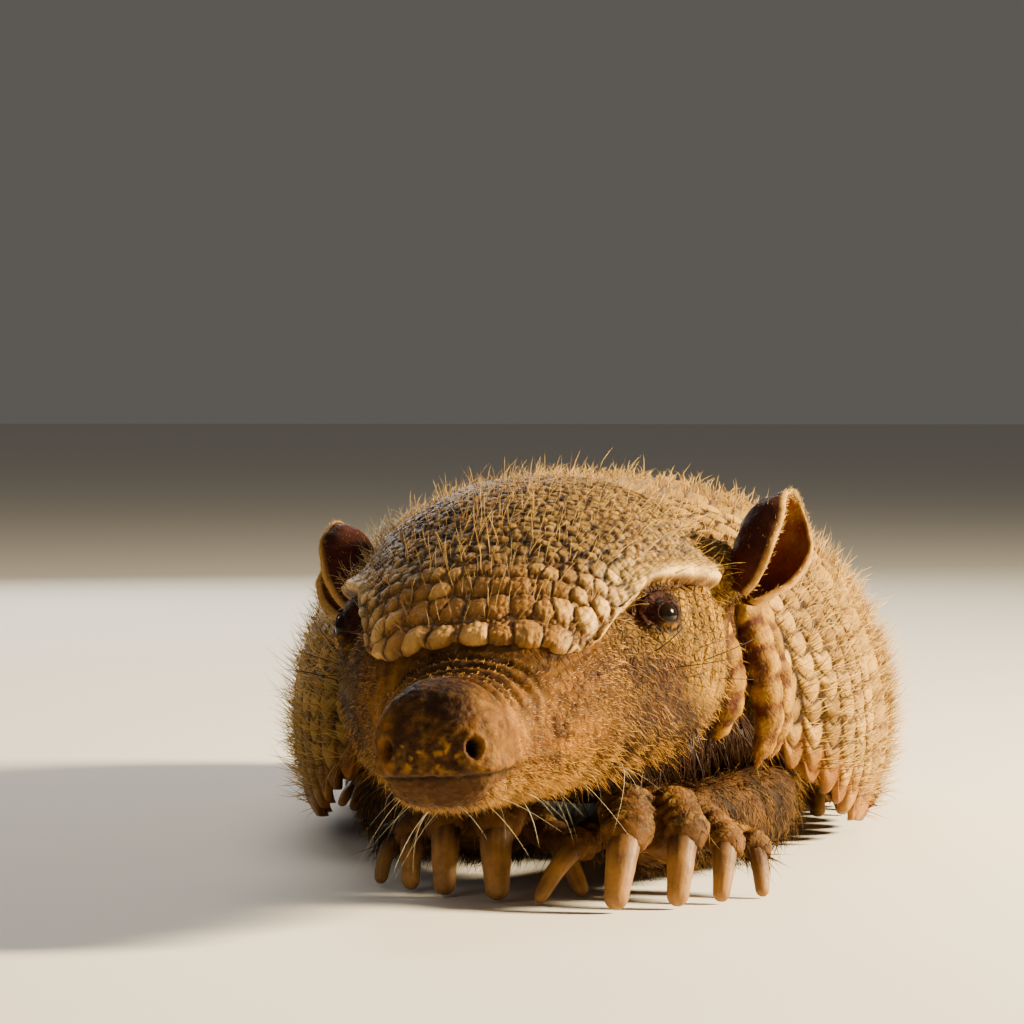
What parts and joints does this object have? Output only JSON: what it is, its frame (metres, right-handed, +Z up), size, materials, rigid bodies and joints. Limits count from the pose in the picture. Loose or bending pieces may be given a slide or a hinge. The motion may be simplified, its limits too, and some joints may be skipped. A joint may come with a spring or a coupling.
{
  "type": "armadillo model",
  "caption": "Life-size still model of a hairy armadillo lying on its belly, chin over its forefeet, head turned to one side and ears out, with a banded shell and a tapered tail.",
  "frame": {"origin": "on the floor, at the middle of the flat patch of belly that the animal lies on", "axes": "+Z up; the animal faces -Y, so +Y runs from its nose to its tail; +X is its left side"},
  "size_m": [0.1216, 0.4141, 0.0783],
  "materials": {
    "scute": "dry horn plates over bone",
    "skin": "dry folded skin with short coarse hair",
    "claw": "worn horn",
    "nose": "bare damp skin",
    "eye": "dark wet eye"
  },
  "bodies": {
    "root": {"head_shield": "scute", "neck_band": "scute", "shoulder_shield": "scute", "band_1": "scute", "band_2": "scute", "band_3": "scute", "band_4": "scute", "band_5": "scute", "band_6": "scute", "band_7": "scute", "rump_shield": "scute", "head": "skin", "lower_jaw": "skin", "neck": "skin", "trunk": "skin", "ear_left": "skin", "ear_right": "skin", "foreleg_left": "skin", "foreleg_right": "skin", "forefoot_left": "skin", "forefoot_right": "skin", "hindleg_left": "skin", "hindleg_right": "skin", "hindfoot_left": "skin", "hindfoot_right": "skin", "tail_base": "skin", "tail_middle": "skin", "tail_end": "skin", "nose": "nose", "eye_left": "eye", "eye_right": "eye", "forefoot_left_claw_1": "claw", "forefoot_left_claw_2": "claw", "forefoot_left_claw_3": "claw", "forefoot_left_claw_4": "claw", "forefoot_left_claw_5": "claw", "forefoot_right_claw_1": "claw", "forefoot_right_claw_2": "claw", "forefoot_right_claw_3": "claw", "forefoot_right_claw_4": "claw", "forefoot_right_claw_5": "claw", "hindfoot_left_claw_1": "claw", "hindfoot_left_claw_2": "claw", "hindfoot_left_claw_3": "claw", "hindfoot_left_claw_4": "claw", "hindfoot_left_claw_5": "claw", "hindfoot_right_claw_1": "claw", "hindfoot_right_claw_2": "claw", "hindfoot_right_claw_3": "claw", "hindfoot_right_claw_4": "claw", "hindfoot_right_claw_5": "claw"}
  },
  "joints": []
}
